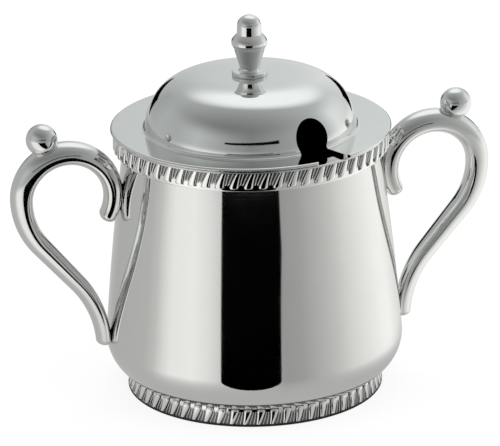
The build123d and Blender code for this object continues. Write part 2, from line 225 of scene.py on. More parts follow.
class FinishSettings(bpy.types.PropertyGroup):
    """Steel finishes."""

    steel: colour("Steel", "Colour of the polished steel", 0.80, 0.80, 0.79)
    # Painted shade, with some grime, for the borders' hollows and the backs of their lobes; painted
    # shade alone on the foot's lip
    painted_shade: colour("Painted shade", "Colour left in the borders' hollows", 0.06, 0.06, 0.055)
    polish: share("Polish", "Roughness of the polished faces", 0.055)
    satin: share("Satin", "Roughness of the faces that nobody polishes", 0.3)


class StudioSettings(bpy.types.PropertyGroup):
    """Camera and light tent."""

    camera_turn: angle("Camera turn", "Camera, from the front towards the right handle", -12.8)
    camera_rise: angle("Camera rise", "Camera above the level", 19.79)
    camera_roll: angle("Camera roll", "Turn of the picture", -1.03)
    distance: length("Distance", "From the camera to the pot", 1.4)
    aim: lengths("Aim", "Aim to the right of the axis and above the table", -0.0008, 0.05405)
    field: length("Field", "Width of the picture at the pot", 0.16124)
    tent_radius: length("Tent radius", "Half width of the light tent", 0.6)
    tent_centre: length("Tent centre", "Height of the tent's centre", 0.05)
    opening_left: angle("Opening left", "Left edge of the tent's opening, from the camera", -24.9)
    opening_right: angle("Opening right", "Right edge of the opening, from the camera", 22.4)
    opening_height: length("Opening height", "Height of the opening in the tent's wall", 0.055)
    opening_start: length("Opening start", "Near edge of the opening on the table", 0.063)
    opening_near: lengths("Opening near", "Left and right end of the near edge", -0.019, 0.014)
    opening_bow: length("Opening bow", "How far the opening's right edge bows in", 0.011)
    opening_corner: lengths("Opening corner", "Rounding of the near edge's ends", 0.014, 0.024)


GROUPS = (
    ("vessel", VesselSizes),
    ("gadroon", GadroonSizes),
    ("handle", HandleSizes),
    ("lid", LidSizes),
    ("finial", FinialSizes),
    ("finish", FinishSettings),
    ("studio", StudioSettings),
)


class SugarPotSettings(bpy.types.PropertyGroup):
    """All settings of the sugar pot."""


SugarPotSettings.__annotations__ = {
    name: PointerProperty(type=group, name=name.capitalize()) for name, group in GROUPS
}


# Outlines, as lists of radius and height

# The angle from which a corner counts as flat, the largest share of a side that a rounding
# takes, and how far out the points lie that hold it, in roundings

FLAT_CORNER = radians(150)
LONGEST_CUT = 0.3
HOLD = 1.5


def arc(centre, radius, first, last, steps):
    """Points along an arc, from a first to a last angle."""
    turns = [first + (last - first) * step / steps for step in range(steps + 1)]
    return [(centre[0] + radius * cos(turn), centre[1] + radius * sin(turn)) for turn in turns]


def polished(outline, rounding, closed=True, steps=5):
    """An outline with its sharp corners rounded and held between two close points."""
    points = [Vector(point) for point in outline]
    result = []
    for index, corner in enumerate(points):
        at_end = not closed and index in (0, len(points) - 1)
        before = points[index - 1] - corner
        after = points[(index + 1) % len(points)] - corner
        if at_end or corner.x == 0 or before.angle(after) > FLAT_CORNER:
            result.append(tuple(corner))
            continue
        room = LONGEST_CUT * min(before.length, after.length)
        reach = min(rounding * tan((pi - before.angle(after)) / 2), room)
        start = corner + before.normalized() * reach
        end = corner + after.normalized() * reach
        result.append(tuple(corner.lerp(start, HOLD)))
        for step in range(steps + 1):
            part = step / steps
            result.append(tuple(start.lerp(corner, part).lerp(corner.lerp(end, part), part)))
        result.append(tuple(corner.lerp(end, HOLD)))
    return result


def box_outline(inner, outer, low, high):
    """Outline of a plain ring, or of a disc where inner is 0."""
    return [(inner, low), (outer, low), (outer, high), (inner, high)]


def vessel_outline(sizes, inset):
    """Half outline of the vessel from the middle of its bottom up to the mouth."""
    centre = (min(VESSEL_HIGH.x, VESSEL_HIGH.y) - sizes.corner_radius, sizes.belly_height)
    lean, corner = sizes.wall_lean, sizes.corner_radius - inset
    bottom = arc(centre, corner, -pi / 2, lean, steps=28)
    outward = Vector((cos(lean), sin(lean)))
    start = Vector(centre) + outward * corner
    chord = Vector((sizes.mouth_radius - inset, VESSEL_HIGH.z)) - start
    radius = chord.dot(chord) / (-2 * chord.dot(outward))
    wall_centre = start - outward * radius
    top = asin((VESSEL_HIGH.z - wall_centre.y) / radius)
    return [(0, centre[1] - corner)] + bottom + arc(wall_centre, radius, lean, top, steps=36)[1:]


def vessel_radius(sizes, height):
    """Outside radius of the vessel at a height."""
    outline = vessel_outline(sizes, 0)
    for (low_radius, low), (high_radius, high) in zip(outline[1:], outline[2:]):
        if low <= height <= high:
            part = (height - low) / (high - low)
            return low_radius + (high_radius - low_radius) * part
    raise ValueError("the vessel has no wall at that height")


def dome_outline(sizes, radius, top, base, lowest, steps):
    """Half outline of a dome, from its flat crown down to a lowest height."""
    height = top - base
    first = asin((sizes.crown_flat / radius) ** (sizes.crown_power / 2))
    last = acos(((lowest - base) / height) ** (sizes.shoulder_power / 2))
    points = [(sizes.crown_flat, top)]
    for step in range(1, steps + 1):
        turn = first + (last - first) * step / steps
        out = radius * sin(turn) ** (2 / sizes.crown_power)
        points.append((out, base + height * cos(turn) ** (2 / sizes.shoulder_power)))
    return points


# Meshes


def linked(name, data):
    """A new object in the scene."""
    piece = bpy.data.objects.new(name, data)
    bpy.context.scene.collection.objects.link(piece)
    return piece


def meshed(name, vertices, faces):
    """A new mesh."""
    mesh = bpy.data.meshes.new(name)
    mesh.from_pydata(vertices, [], faces)
    return mesh


def finished(mesh, sharp=40):
    """Doubles merged, faces turned outward, then shaded softly between sharp edges."""
    work = bmesh.new()
    work.from_mesh(mesh)
    bmesh.ops.remove_doubles(work, verts=work.verts, dist=SAME_POINT)
    bmesh.ops.dissolve_degenerate(work, edges=work.edges, dist=SAME_POINT / 10)
    bmesh.ops.recalc_face_normals(work, faces=work.faces)
    work.to_mesh(mesh)
    work.free()
    mesh.shade_smooth()
    mesh.set_sharp_from_angle(angle=radians(sharp))


def solid(name, vertices, faces, sharp=40):
    """A closed piece with faces outward and soft shading between sharp edges."""
    mesh = meshed(name, vertices, faces)
    finished(mesh, sharp)
    return linked(name, mesh)


def skinned(rings):
    """Faces between closed rings of point numbers; a ring that repeats one point is a pole."""
    faces = []
    for low, high in zip(rings, rings[1:]):
        for step in range(len(low)):
            after = (step + 1) % len(low)
            face = dict.fromkeys((low[step], low[after], high[after], high[step]))
            if len(face) > 2:
                faces.append(tuple(face))
    return faces


def spun(outline, segments, closed):
    """Vertices and faces of an outline turned round the axis; points on it become poles."""
    vertices, rings = [], []
    for radius, height in outline:
        if radius < SAME_POINT:
            rings.append([len(vertices)] * segments)
            vertices.append((0, 0, height))
            continue
        rings.append(list(range(len(vertices), len(vertices) + segments)))
        for step in range(segments):
            turn = ROUND * step / segments
            vertices.append((radius * cos(turn), radius * sin(turn), height))
    return vertices, skinned(rings + rings[:1] if closed else rings)


def turned(name, outline, segments=192, sharp=40):
    """A turned piece from its outline, which closes on itself where it is off the axis."""
    return solid(name, *spun(outline, segments, outline[0][0] > SAME_POINT), sharp)


def bridged(rows, width):
    """Faces between rows of a grid of points that closes neither way."""
    return [
        (row * width + n, row * width + n + 1, (row + 1) * width + n + 1, (row + 1) * width + n)
        for row in range(rows - 1)
        for n in range(width - 1)
    ]


def baked(piece, name):
    """The piece with its modifiers applied, as a new plain object."""
    graph = bpy.context.evaluated_depsgraph_get()
    mesh = bpy.data.meshes.new_from_object(piece.evaluated_get(graph))
    mesh.name = name
    bpy.data.objects.remove(piece)
    return linked(name, mesh)


def mark_painted_shade(mesh, depths):
    """Note where shade is painted: how deep in a hollow or shadow each point lies, from 0 to 1."""
    mesh.attributes.new("hollow", "FLOAT", "POINT").data.foreach_set("value", depths)


def place(piece, body, slot, *nodes):
    """Give a finished piece its steel and hand it over to the frame."""
    piece.data.materials.clear()
    piece.data.materials.append(steel(slot))
    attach(piece, body)
    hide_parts(*nodes)


# Finishes: share of the polish and of the satin in the roughness, its spread, the scale and
# strength of the spun lines, and the brightness

STEELS = {
    "polished_steel": (1.0, 0.0, 0.015, 2600.0, 0.02, 1.0),
    "struck_steel": (0.6, 0.0, 0.01, 900.0, 0.0, 1.18),
    "cast_steel": (1.3, 0.0, 0.02, 700.0, 0.03, 1.0),
    "turned_steel": (1.0, 0.0, 0.015, 4200.0, 0.03, 1.0),
    "plain_steel": (0.0, 1.0, 0.05, 5200.0, 0.12, 1.0),
}

# Scale of the uneven patches, their darkest and brightest, and the sum of patches and lines at
# which the steel is glossiest and dullest

PATCH_SCALE, PATCH_DARK, PATCH_BRIGHT = 90.0, 0.975, 1.02
GLOSSY_SUM, DULL_SUM = 0.6, 1.4

# Least roughness, and depth of the spun lines in metres

SMOOTHEST, LINE_DEPTH = 0.01, 0.0002


def new_material(name):
    """An empty node material with its tree and shader, or just the material if it exists."""
    material = bpy.data.materials.get(name)
    if material:
        return material, None, None
    material = bpy.data.materials.new(name)
    material.use_nodes = True
    tree = material.node_tree
    return material, tree, tree.nodes["Principled BSDF"]


def add_node(tree, kind, **values):
    """A node with its settings and plain input values."""
    node = tree.nodes.new(kind)
    for key, value in values.items():
        if key in node.inputs:
            node.inputs[key].default_value = value
        else:
            setattr(node, key, value)
    return node


def wire(tree, *pairs):
    """Link sockets, each pair from an output to an input."""
    for source, target in pairs:
        tree.links.new(source, target)


def mixed(tree, factor, first, second):
    """A colour mix; each colour is a socket or a plain colour."""
    mix = add_node(tree, "ShaderNodeMix", data_type="RGBA")
    sockets = {socket.identifier: socket for socket in mix.inputs}
    tree.links.new(factor, sockets["Factor_Float"])
    for key, tone in (("A_Color", first), ("B_Color", second)):
        if isinstance(tone, bpy.types.NodeSocket):
            tree.links.new(tone, sockets[key])
        else:
            sockets[key].default_value = (*tone, 1)
    return {socket.identifier: socket for socket in mix.outputs}["Result_Color"]


def ranged(tree, value, low, high, first=0, last=1, smooth=False):
    """A value taken from one range to another and held at its ends."""
    kind = "SMOOTHSTEP" if smooth else "LINEAR"
    node = add_node(tree, "ShaderNodeMapRange", interpolation_type=kind)
    for name, number in (("From Min", low), ("From Max", high), ("To Min", first), ("To Max", last)):
        node.inputs[name].default_value = number
    tree.links.new(value, node.inputs["Value"])
    return node.outputs[0]


def worked(tree, operation, *values):
    """A math node over sockets or plain numbers."""
    node = add_node(tree, "ShaderNodeMath", operation=operation)
    for socket, value in zip(node.inputs, values):
        if isinstance(value, bpy.types.NodeSocket):
            tree.links.new(value, socket)
        else:
            socket.default_value = value
    return node.outputs[0]


def distances(tree):
    """A point's X, Y and Z on its own object, and its reach from the axis."""
    spot = add_node(tree, "ShaderNodeTexCoord")
    parts = add_node(tree, "ShaderNodeSeparateXYZ")
    flat = add_node(tree, "ShaderNodeCombineXYZ")
    reach = add_node(tree, "ShaderNodeVectorMath", operation="LENGTH")
    wire(
        tree, (spot.outputs["Object"], parts.inputs[0]), (parts.outputs["X"], flat.inputs["X"]),
        (parts.outputs["Y"], flat.inputs["Y"]), (flat.outputs[0], reach.inputs[0]),
    )
    return (*parts.outputs, reach.outputs["Value"])


def spun_lines(tree, scale):
    """Fine rings round the axis that spinning and polishing leave."""
    _, _, height, reach = distances(tree)
    rings = add_node(tree, "ShaderNodeCombineXYZ")
    noise = add_node(tree, "ShaderNodeTexNoise", Scale=scale, Detail=3.0)
    wire(
        tree, (reach, rings.inputs["X"]), (height, rings.inputs["Z"]),
        (rings.outputs[0], noise.inputs["Vector"]),
    )
    return noise.outputs["Fac"]


def cloud(tree, scale):
    """Soft uneven patches."""
    spot = add_node(tree, "ShaderNodeTexCoord")
    noise = add_node(tree, "ShaderNodeTexNoise", Scale=scale, Detail=2.0)
    tree.links.new(spot.outputs["Object"], noise.inputs["Vector"])
    return noise.outputs["Fac"]


def steel(slot):
    """Steel whose gloss wanders a little, with fine spun lines and painted shade in its hollows."""
    material, tree, shader = new_material(slot.replace("_", " "))
    if tree is None:
        return material
    finish = bpy.context.scene.sugar_pot.finish
    polish_share, satin_share, spread, scale, bump, bright = STEELS[slot]
    roughness = finish.polish * polish_share + finish.satin * satin_share
    shader.inputs["Metallic"].default_value = 1.0
    rings, patches = spun_lines(tree, scale), cloud(tree, PATCH_SCALE)
    hollow = add_node(tree, "ShaderNodeAttribute", attribute_name="hollow").outputs["Fac"]
    dark = [c * bright * PATCH_DARK for c in finish.steel]
    light = [min(1, c * bright * PATCH_BRIGHT) for c in finish.steel]
    # Painted shade: where the hollow attribute is set, the steel's colour gives way to the
    # painted-shade colour
    tone = mixed(tree, hollow, mixed(tree, patches, dark, light), finish.painted_shade)
    both = worked(tree, "ADD", rings, patches)
    smooth, rough = max(SMOOTHEST, roughness - spread), roughness + spread
    gloss = ranged(tree, both, GLOSSY_SUM, DULL_SUM, smooth, rough)
    dull = worked(tree, "MULTIPLY", hollow, finish.satin)
    dents = add_node(tree, "ShaderNodeBump", Strength=bump, Distance=LINE_DEPTH)
    wire(
        tree, (tone, shader.inputs["Base Color"]), (rings, dents.inputs["Height"]),
        (worked(tree, "ADD", gloss, dull), shader.inputs["Roughness"]),
        (dents.outputs["Normal"], shader.inputs["Normal"]),
    )
    return material


# Operators, one for each piece or group of like pieces


class SUGARPOT_OT_vessel(bpy.types.Operator):
    """Spin the vessel and solder on its mouth rim and foot ring"""

    bl_idname = "sugarpot.vessel"
    bl_label = "Vessel"

    def execute(self, context):
        sizes = context.scene.sugar_pot.vessel
        sides = vessel_outline(sizes, 0) + vessel_outline(sizes, sizes.sheet)[::-1]
        vessel = turned("vessel", polished(sides, sizes.edge, closed=False), segments=256)
        place(vessel, "pot", "polished_steel", "body_shell")

        bore = sizes.mouth_radius - sizes.sheet
        low, high, reach = RIM_LOW.z, RIM_HIGH.z, RIM_HIGH.x
        rounding = (high - low) * sizes.rim_rounding
        edge = arc((reach - rounding, high - rounding), rounding, 0, pi / 2, steps=8)
        rim = turned("mouth_rim_ring", [(bore, low), (reach, low)] + edge + [(bore, high)])
        place(rim, "pot", "polished_steel", "mouth_rim")

        outer, lip = FOOT_HIGH.x, sizes.foot_lip
        collar = outer - sizes.foot_border
        inner = collar - sizes.foot_collar
        corners = [(inner, 0), (outer, 0), (outer, lip), (collar, lip)]
        corners += [(radius, self.underside(sizes, radius)) for radius in (collar, inner)]
        foot = turned("foot_collar", polished(corners, sizes.edge))
        # Painted shade: the foot's lip is marked fully dark, standing in for the shadow gap where
        # the foot meets the table
        mark_painted_shade(foot.data, [float(point.co.z < lip) for point in foot.data.vertices])
        place(foot, "pot", "polished_steel", "foot_ring")
        return {"FINISHED"}

    def underside(self, sizes, radius):
        """Height of the rounded corner's underside at a distance from the axis."""
        centre = VESSEL_HIGH.x - sizes.corner_radius
        return sizes.belly_height - sqrt(sizes.corner_radius ** 2 - (radius - centre) ** 2)


# Where painted shade, with some grime, darkens a border's hollows: low on a lobe, beside it and
# along the reeds, then how much there, and a reed's widest half width, as a share of the gap between
# lobes

SEAM_RISE, SEAM_WIDTH = 0.09, 0.05
GAP_FADE, GAP_DARKNESS = 0.12, 0.8
WIDEST_REED = 0.24

# Steps of the mesh over a lobe's half width and its round end, and over the rest of its length,
# then its columns over a reed, in half widths, and between lobe and reed, as a share

LOBE_STEPS, LENGTH_STEPS = 8, 14
REED_PLACES = (-1, -0.8, -0.4, 0, 0.4, 0.8, 1)
GAP_PLACE = 0.3


def narrowing(sizes, along):
    """How far a lobe has narrowed, from 0 in its round end to 1 at its thin end."""
    return max(0.0, (along - sizes.fat_length) / (1 - sizes.fat_length))


def lobe_and_reed(sizes, along):
    """Half width of a lobe, and a reed's centre and half width, in pitches."""
    half = sizes.fat_share + (sizes.thin_share - sizes.fat_share) * narrowing(sizes, along)
    gap = 1 - 2 * half
    return half, half + gap * sizes.reed_place, min(sizes.reed_width, WIDEST_REED * gap)


def lobe_relief(sizes, thin_relief, across, along):
    """How far a point stands out, and how deep in a hollow it lies for the painted shade, both from
    0 to 1.

    Across runs from 0 to 1 over one lobe pitch, with the lobe in its middle. Along runs from
    the lobe's fat end at 0 to its thin end at 1.
    """
    half, reed_centre, reed_half = lobe_and_reed(sizes, along)
    aside = abs(across - 0.5)
    from_cap = max(0.0, 1 - along / sizes.fat_length)
    inside = 1 - (aside / half) ** sizes.flatness - from_cap ** sizes.flatness
    if inside > 0:
        swell = 1 + (thin_relief - 1) * narrowing(sizes, along)
        return swell * inside ** (1 / sizes.flatness), max(0.0, 1 - inside / SEAM_RISE)
    fade = min(1.0, max(0.0, (along - sizes.reed_start) / GAP_FADE))
    reed = sqrt(fade * max(0.0, 1 - ((aside - reed_centre) / reed_half) ** 2))
    seam = max(0.0, 1 - max(0.0, aside - half) / SEAM_WIDTH) if along > 0 else 0.0
    return reed * sizes.reed_relief / sizes.relief, (1 - reed) * max(seam, GAP_DARKNESS * fade)


def lobe_columns(sizes, along):
    """Where the mesh's columns lie across one pitch: close together on lobe and reeds."""
    half, centre, width = lobe_and_reed(sizes, along)
    lobe = [half * sin(pi / 2 * step / LOBE_STEPS) for step in range(LOBE_STEPS + 1)]
    reed = [centre + width * part for part in REED_PLACES]
    side = lobe + [half + GAP_PLACE * (centre - width - half)] + reed + [0.5]
    return [0.5 - spot for spot in reversed(side[1:])] + [0.5 + spot for spot in side]


def lobe_shares(sizes):
    """Shares of a lobe's length for the mesh's rows: close together on its round end."""
    fat = sizes.fat_length
    cap = [fat * (1 - cos(pi / 2 * step / LOBE_STEPS)) for step in range(LOBE_STEPS + 1)]
    return cap + [fat + (1 - fat) * (step + 1) / LENGTH_STEPS for step in range(LENGTH_STEPS)]


def lobe_unit(name, sizes, thin_relief, slant, edge, ends, back):
    """One lobe pitch of a border, open where it meets its neighbours.

    The plain edge leads up to the face, which runs between the two ends from the lobe's fat
    end to its thin end; the back closes the section and is painted dark, as shade. Slant is
    how far the lobe leans, in pitches, and its sign is the side on which the face's normal lies.
    """
    fat_end, thin_end = Vector(ends[0]), Vector(ends[1])
    run = thin_end - fat_end
    normal = copysign(1, slant) * Vector((run.y, -run.x)).normalized()
    rows = [(point, None, 0.0, 0.0) for point in edge]
    rows += [
        (fat_end.lerp(thin_end, along), along, slant * along ** sizes.slant_power, 0.0)
        for along in lobe_shares(sizes)
    ]
    last = len(back) + 1
    # Painted shade: the back rows are marked fully dark
    rows += [(point, None, slant * (1 - (n + 1) / last), 1.0) for n, point in enumerate(back)]
    vertices, hollows = [], []
    for point, along, shift, hollow in rows:
        for across in lobe_columns(sizes, along or 0.0):
            spot = Vector(point)
            if along is not None:
                rise, hollow = lobe_relief(sizes, thin_relief, across, along)
                spot += normal * rise * sizes.relief
            turn = ROUND / sizes.lobes * (across - 0.5 + shift)
            vertices.append((spot.x * sin(turn), -spot.x * cos(turn), spot.y))
            hollows.append(hollow)
    count, width = len(rows), len(vertices) // len(rows)
    faces = bridged(count + 1, width)
    faces = [tuple(corner % len(vertices) for corner in face) for face in faces]
    mesh = meshed(name, vertices, faces)
    mark_painted_shade(mesh, hollows)
    return linked(name, mesh)


# Inputs of the ring tree, and the distance over which it welds, in metres

RING_INPUTS = (
    ("Lobe", "NodeSocketGeometry"),
    ("Count", "NodeSocketInt"),
    ("First turn", "NodeSocketFloat"),
    ("Weld distance", "NodeSocketFloat"),
    ("Finish", "NodeSocketMaterial"),
)
WELD = 2e-6


def ring_tree():
    """Geometry nodes that set a unit in a ring round the axis and weld it shut."""
    name = "Ring of lobes"
    if name in bpy.data.node_groups:
        return bpy.data.node_groups[name]
    tree = bpy.data.node_groups.new(name, "GeometryNodeTree")
    for title, kind in RING_INPUTS:
        tree.interface.new_socket(title, in_out="INPUT", socket_type=kind)
    tree.interface.new_socket("Border", in_out="OUTPUT", socket_type="NodeSocketGeometry")
    given = add_node(tree, "NodeGroupInput").outputs
    result = add_node(tree, "NodeGroupOutput")
    points = add_node(tree, "GeometryNodePoints")
    index = add_node(tree, "GeometryNodeInputIndex")
    rotation = add_node(tree, "ShaderNodeCombineXYZ")
    instances = add_node(tree, "GeometryNodeInstanceOnPoints")
    real = add_node(tree, "GeometryNodeRealizeInstances")
    weld = add_node(tree, "GeometryNodeMergeByDistance")
    finish = add_node(tree, "GeometryNodeSetMaterial")
    step = worked(tree, "DIVIDE", ROUND, given["Count"])
    turn = worked(tree, "MULTIPLY_ADD", index.outputs[0], step, given["First turn"])
    wire(
        tree, (given["Count"], points.inputs["Count"]), (turn, rotation.inputs["Z"]),
        (points.outputs[0], instances.inputs["Points"]),
        (given["Lobe"], instances.inputs["Instance"]),
        (rotation.outputs[0], instances.inputs["Rotation"]),
        (instances.outputs[0], real.inputs[0]), (real.outputs[0], weld.inputs["Geometry"]),
        (given["Weld distance"], weld.inputs["Distance"]),
        (weld.outputs[0], finish.inputs["Geometry"]),
        (given["Finish"], finish.inputs["Material"]), (finish.outputs[0], result.inputs[0]),
    )
    return tree


def ring_of(unit, name, count, first_turn, material):
    """Run the ring tree on a unit and bake it to one plain mesh."""
    tree = ring_tree()
    modifier = unit.modifiers.new("Ring", "NODES")
    modifier.node_group = tree
    sockets = {
        item.name: item.identifier
        for item in tree.interface.items_tree
        if item.item_type == "SOCKET" and item.in_out == "INPUT"
    }
    modifier[sockets["Count"]] = count
    modifier[sockets["First turn"]] = first_turn
    modifier[sockets["Weld distance"]] = WELD
    modifier[sockets["Finish"]] = material
    piece = baked(unit, name)
    finished(piece.data, sharp=60)
    return piece


class SUGARPOT_OT_borders(bpy.types.Operator):
    """Strike the two gadroon borders, one lobe at a time round the axis"""

    bl_idname = "sugarpot.borders"
    bl_label = "Gadroon borders"

    def execute(self, context):
        settings = context.scene.sugar_pot
        sizes, vessel = settings.gadroon, settings.vessel

        top, bottom = RIM_BORDER_HIGH.z, RIM_BORDER_LOW.z - sizes.rim_low
        reach = RIM_BORDER_HIGH.x - sizes.relief
        ends = (reach - sizes.rim_lean, bottom + sizes.rim_start), (reach, top)
        rounding, half_sheet = sizes.rim_rounding, vessel.sheet / 2
        edge_centre = (ends[0][0] - rounding, bottom + rounding)
        edge = [(vessel_radius(vessel, bottom) - half_sheet, bottom)]
        edge += arc(edge_centre, rounding, -pi / 2, 0, steps=6)
        back = [(vessel.mouth_radius - half_sheet, top)]
        unit = lobe_unit("rim_lobe", sizes, sizes.rim_thin, sizes.rim_slant, edge, ends, back)
        rim = ring_of(unit, "rim_gadroon", sizes.lobes, sizes.rim_turn, steel("struck_steel"))
        place(rim, "pot", "struck_steel", "rim_gadroon_band")

        outer, inner = FOOT_HIGH.x - sizes.relief, FOOT_HIGH.x - vessel.foot_border
        low, high = FOOT_BORDER_LOW.z, FOOT_BORDER_HIGH.z
        ends = (outer - sizes.foot_lean, high), (outer, low)
        back = [(inner, low), (inner, (low + high) / 2), (inner, high)]
        back.append((ends[0][0] - vessel.edge, high))
        unit = lobe_unit("foot_lobe", sizes, sizes.foot_thin, -sizes.foot_slant, [], ends, back)
        foot = ring_of(unit, "foot_gadroon", sizes.lobes, sizes.foot_turn, steel("struck_steel"))
        place(foot, "pot", "struck_steel", "foot_gadroon_band")
        return {"FINISHED"}


class ScrollLine:
    """Centre line of the right scroll, from the curl's tip to the tail, in the XZ plane."""

    def __init__(self, sizes, vessel):
        self.sizes = sizes
        curl_reach = sizes.crown_share * self.size_at(sizes.curl_share)[0]
        wall = vessel_radius(vessel, sizes.height)
        self.centre = wall - sizes.seat + curl_reach + sizes.radius
        tail_seat = VESSEL_HIGH.x - sizes.seat + (1 - sizes.crown_share) * sizes.tail[0]
        turned_in = (sizes.grip_radius + sizes.tail_radius) * (1 - cos(sizes.grip_turn))
        run = self.centre + sizes.radius - turned_in - tail_seat
        self.stretches = [
            (sizes.radius * sizes.curl_turn, -sizes.curl_turn),
            (sizes.grip_radius * sizes.grip_turn, -sizes.grip_turn),
            (run / sin(sizes.grip_turn), 0.0),
            (sizes.tail_radius * sizes.grip_turn, sizes.grip_turn),
        ]
        self.length = sum(reach for reach, _ in self.stretches)

    def size_at(self, part):
        """Thickness and width of the scroll a part of the way along."""
        arch, peak = Vector(self.sizes.arch), self.sizes.arch_share
        if part < peak:
            return Vector(self.sizes.curl).lerp(arch, sin(part / peak * pi / 2))
        return arch.lerp(Vector(self.sizes.tail), (part - peak) / (1 - peak))

    def at(self, distance):
        """Point and heading at a distance along the line."""
        turn = self.sizes.curl_turn
        point = Vector((self.centre, self.sizes.height))
        point += Vector((cos(turn), sin(turn))) * self.sizes.radius
        heading = turn - pi / 2
        for reach, bend in self.stretches:
            step = min(distance, reach)
            if bend:
                radius, after = reach / bend, heading + step * bend / reach
                point += radius * Vector((sin(after) - sin(heading), cos(heading) - cos(after)))
                heading = after
            else:
                point += Vector((cos(heading), sin(heading))) * step
            distance -= step
            if distance <= 0:
                break
        return point, heading


def scroll(name, line, side):
    """A cast scroll: sections along its line, closed by a point at each tip."""
    sizes = line.sizes
    rounding, count, segments, tip_steps = sizes.tip_rounding, 130, 48, 10
    tips = [rounding * (1 - cos(pi / 2 * step / tip_steps)) for step in range(tip_steps)]
    straight = line.length - 2 * rounding
    middle = [rounding + straight * step / count for step in range(count + 1)]
    vertices, rings = [], []
    for distance in tips + middle + [line.length - tip for tip in reversed(tips)]:
        nearest = min(distance, line.length - distance)
        close_in = sqrt(1 - max(0.0, 1 - nearest / rounding) ** 2)
        thickness, width = line.size_at(distance / line.length) * close_in
        point, heading = line.at(distance)
        if nearest == 0:
            rings.append([len(vertices)] * segments)
            vertices.append((side * point.x, 0, point.y))
            continue
        rings.append(list(range(len(vertices), len(vertices) + segments)))
        outward = Vector((-sin(heading), cos(heading)))
        for step in range(segments):
            turn = ROUND * step / segments
            outside = cos(turn) > 0
            depth = thickness * (sizes.crown_share if outside else 1 - sizes.crown_share)
            bend = 1 if outside else 2 / sizes.palm_squareness
            out = copysign(abs(cos(turn)) ** bend, cos(turn)) * depth
            across = copysign(abs(sin(turn)) ** bend, sin(turn)) * width / 2
            spot = point + outward * out
            vertices.append((side * spot.x, side * across, spot.y))
    return solid(name, vertices, skinned(rings), sharp=60)


class SUGARPOT_OT_handles(bpy.types.Operator):
    """Cast the two scroll handles"""

    bl_idname = "sugarpot.handles"
    bl_label = "Handles"

    def execute(self, context):
        settings = context.scene.sugar_pot
        line = ScrollLine(settings.handle, settings.vessel)
        for name, side in (("right", 1), ("left", -1)):
            handle = scroll(f"{name}_scroll", line, side)
            place(handle, "pot", "cast_steel", f"{name}_handle")
        return {"FINISHED"}


class SUGARPOT_OT_thumb_balls(bpy.types.Operator):
    """Solder a ball on each handle's arch"""

    bl_idname = "sugarpot.thumb_balls"
    bl_label = "Thumb balls"

    def execute(self, context):
        for name in ("left", "right"):
            low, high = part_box(f"{name}_thumb_ball")
            radius = (high.y - low.y) / 2
            side = arc((0, 0), radius, -pi / 2, pi / 2, steps=40)[1:-1]
            ball = turned(f"{name}_ball", [(0, -radius)] + side + [(0, radius)], segments=64)
            middle = high.x - radius if name == "right" else low.x + radius
            ball.data.transform(Matrix.Translation((middle, 0, high.z - radius)))
            place(ball, "pot", "turned_steel", f"{name}_thumb_ball")
        return {"FINISHED"}


# How far a cutter reaches beyond what it cuts, in metres

OVERCUT = 0.001

# Where the notch's cutters start and how deep the hole goes, as shares of the dome's radius

CUT_START, CUT_DEPTH = 0.75, 0.6

# Points across the brim that keep its shading flat, as shares of its width

BRIM_PLACES = (0.02, 0.5, 0.98)

# Reach of the cutter for the blade slot, and the crown of the screw's head, as shares of its
# radius and height

BLADE_REACH = 0.004
HEAD_CROWN = ((0, 0), (0.55, 0.0625), (0.85, 0.375), (1, 1))

# Steps of the finial's outline along its stem, its bead and its tip

STEM_STEPS, BEAD_STEPS, TIP_STEPS = 10, 24, 24


def prism(name, outline, matrix, depth):
    """A closed prism over a flat outline, from 0 to a depth along its own Z."""
    count = len(outline)
    vertices = [matrix @ Vector((x, y, z)) for z in (0.0, depth) for x, y in outline]
    faces = [tuple(range(count))[::-1], tuple(range(count, 2 * count))]
    for step in range(count):
        after = (step + 1) % count
        faces.append((step, after, count + after, count + step))
    return solid(name, vertices, faces)


def cut(piece, *tools, sharp=40):
    """Cut tools out of a piece and drop them."""
    for tool in tools:
        modifier = piece.modifiers.new("cut", "BOOLEAN")
        modifier.operation = "DIFFERENCE"
        modifier.solver = "EXACT"
        modifier.object = tool
    result = baked(piece, piece.name)
    for tool in tools:
        bpy.data.objects.remove(tool)
    finished(result.data, sharp)
    return result


